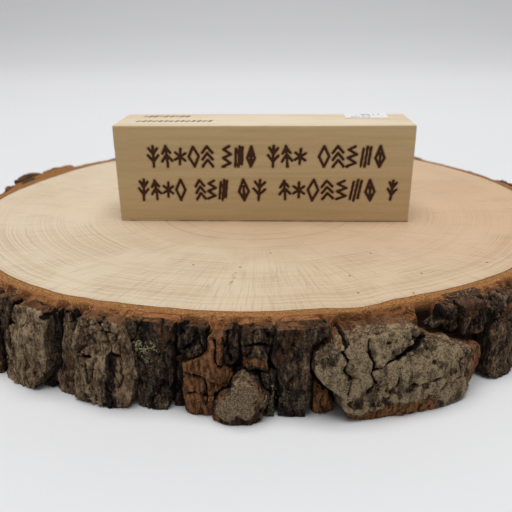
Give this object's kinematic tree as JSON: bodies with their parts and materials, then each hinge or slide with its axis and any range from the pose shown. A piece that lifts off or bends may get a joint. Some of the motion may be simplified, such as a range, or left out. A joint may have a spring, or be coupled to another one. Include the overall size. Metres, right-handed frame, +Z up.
{
  "type": "wooden plaque",
  "caption": "Small engraved wooden block standing as a plaque on a round live-edge log slice with its bark on; the block lifts off.",
  "frame": {"origin": "centre of the log slice's underside, on the surface it rests on", "axes": "+Z up through the slice, -Y towards the side that the engraved face of the block looks at, +X to the right seen from that side"},
  "size_m": [0.202, 0.1944, 0.0522],
  "materials": {
    "end_grain_wood": "raw sawn end grain, fine rings and rays, matte",
    "inner_bark": "raw fibrous orange-brown inner bark",
    "outer_bark": "rough fissured dark bark with grey-green lichen",
    "block_wood": "sanded light hardwood, unfinished, burnt engraving",
    "label_paper": "plain matte white paper"
  },
  "bodies": {
    "base": {"bark_chunk_left_edge": "outer_bark", "bark_chunk_low_right": "outer_bark", "bark_chunk_small_lichen": "outer_bark", "bark_chunk_upper_left": "outer_bark", "bark_chunk_upper_middle": "outer_bark", "bark_chunk_upper_right": "outer_bark", "bark_plate_big_lichen": "outer_bark", "bark_plate_cracked": "outer_bark", "bark_plate_grey_left": "outer_bark", "bark_plate_lichen_tuft": "outer_bark", "bark_plate_mossy": "outer_bark", "bark_plate_red_layers": "outer_bark", "bark_plate_right": "outer_bark", "bark_plate_shaded": "outer_bark", "bark_plate_side_01": "outer_bark", "bark_plate_side_02": "outer_bark", "bark_plate_side_03": "outer_bark", "bark_plate_side_04": "outer_bark", "bark_plate_side_05": "outer_bark", "bark_plate_side_06": "outer_bark", "bark_plate_side_07": "outer_bark", "bark_plate_side_08": "outer_bark", "bark_plate_side_09": "outer_bark", "bark_plate_side_10": "outer_bark", "bark_plate_side_11": "outer_bark", "bark_plate_side_12": "outer_bark", "bark_plate_side_13": "outer_bark", "bark_plate_side_14": "outer_bark", "bark_plate_side_15": "outer_bark", "bark_plate_side_16": "outer_bark", "bark_plate_side_17": "outer_bark", "bark_plate_side_18": "outer_bark", "bark_plate_side_19": "outer_bark", "bark_plate_side_20": "outer_bark", "bark_plate_side_21": "outer_bark", "bark_plate_side_22": "outer_bark", "bark_plate_side_23": "outer_bark", "bark_plate_side_24": "outer_bark", "bark_plate_side_25": "outer_bark", "bark_plate_side_26": "outer_bark", "bark_plate_side_27": "outer_bark", "bark_plate_side_28": "outer_bark", "bark_plate_side_29": "outer_bark", "bark_plate_side_30": "outer_bark", "bark_plate_stepped": "outer_bark", "bark_plate_tan": "outer_bark", "bark_sliver_left": "outer_bark", "bark_sliver_low_red": "outer_bark", "bark_sliver_middle": "outer_bark", "inner_bark": "inner_bark", "slice_wood": "end_grain_wood"},
    "block": {"plaque_block": "block_wood", "paper_label": "label_paper"}
  },
  "joints": [
    {"name": "block_lift", "type": "slide", "parent": "base", "child": "block", "axis": [0, 0, 1], "range_m": [0, 0.06]}
  ]
}
